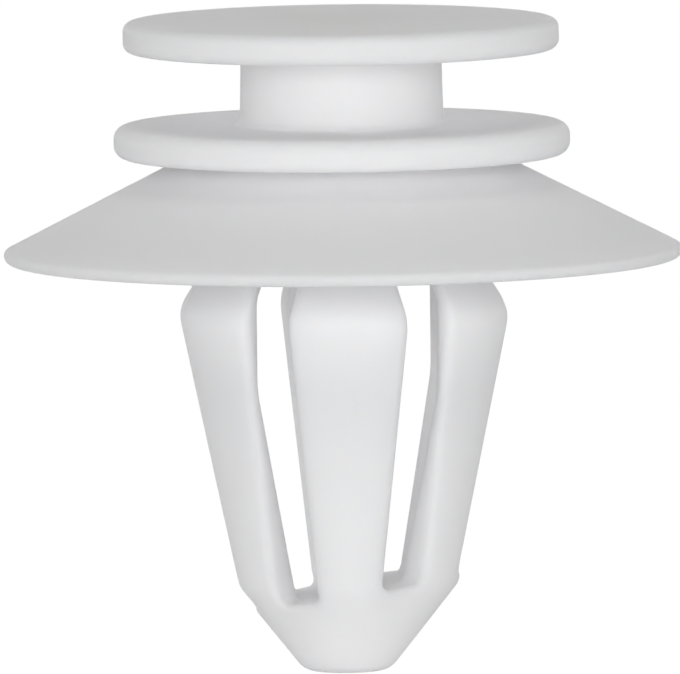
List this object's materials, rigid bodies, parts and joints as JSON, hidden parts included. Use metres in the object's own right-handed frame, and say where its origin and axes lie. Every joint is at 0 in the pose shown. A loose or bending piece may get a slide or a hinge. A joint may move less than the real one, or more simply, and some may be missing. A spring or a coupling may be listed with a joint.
{
  "type": "trim clip",
  "caption": "One-piece nylon push-in trim clip: round head, grooved neck, flange, springy sealing skirt and a slotted tapered cage of sprung legs.",
  "frame": {"origin": "on the clip's axis, in the plane of the skirt's rim, where the clip seats on the body panel", "axes": "+Z along the axis towards the head, so the nose points to -Z; one leg is centred on -Y"},
  "size_m": [0.0218, 0.0218, 0.0209],
  "materials": {
    "nylon": "natural white nylon, satin, slightly translucent"
  },
  "bodies": {
    "root": {"trim_clip": "nylon"}
  },
  "joints": []
}
